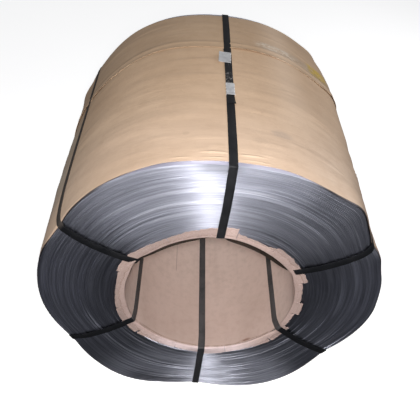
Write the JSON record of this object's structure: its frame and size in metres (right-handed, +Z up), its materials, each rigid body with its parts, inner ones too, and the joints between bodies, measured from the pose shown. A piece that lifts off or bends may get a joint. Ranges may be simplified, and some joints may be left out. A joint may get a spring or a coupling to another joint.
{
  "type": "strapped coil of rectangular steel wire",
  "caption": "Wound coil of rectangular steel wire on its side, wrapped in kraft paper, with a board liner in the bore and black straps through the bore.",
  "frame": {"origin": "on the floor, below the middle of the coil", "axes": "+Z up, +Y along the coil's axis from the end that shows its turns towards the rear, +X to the right seen from that end"},
  "size_m": [0.7876, 0.6874, 0.7858],
  "materials": {
    "steel_wire": "drawn wire edges, fine turn lines, lightly oiled",
    "kraft_paper": "tan kraft paper with faint wrinkles and scuffs",
    "liner_board": "grey-brown board with torn edges",
    "strap": "black embossed strap, slightly dusty",
    "seal": "zinc-plated, crimped"
  },
  "bodies": {
    "root": {"wire_coil": "steel_wire", "wrap_front": "kraft_paper", "wrap_rear": "kraft_paper", "core_liner": "liner_board", "strap_top": "strap", "strap_upper_right": "strap", "strap_lower_right": "strap", "strap_bottom": "strap", "strap_lower_left": "strap", "strap_upper_left": "strap", "seal_top_front": "seal", "seal_top_rear": "seal", "seal_upper_right": "seal", "seal_lower_right": "seal", "seal_bottom": "seal", "seal_lower_left": "seal", "seal_upper_left": "seal"}
  },
  "joints": []
}
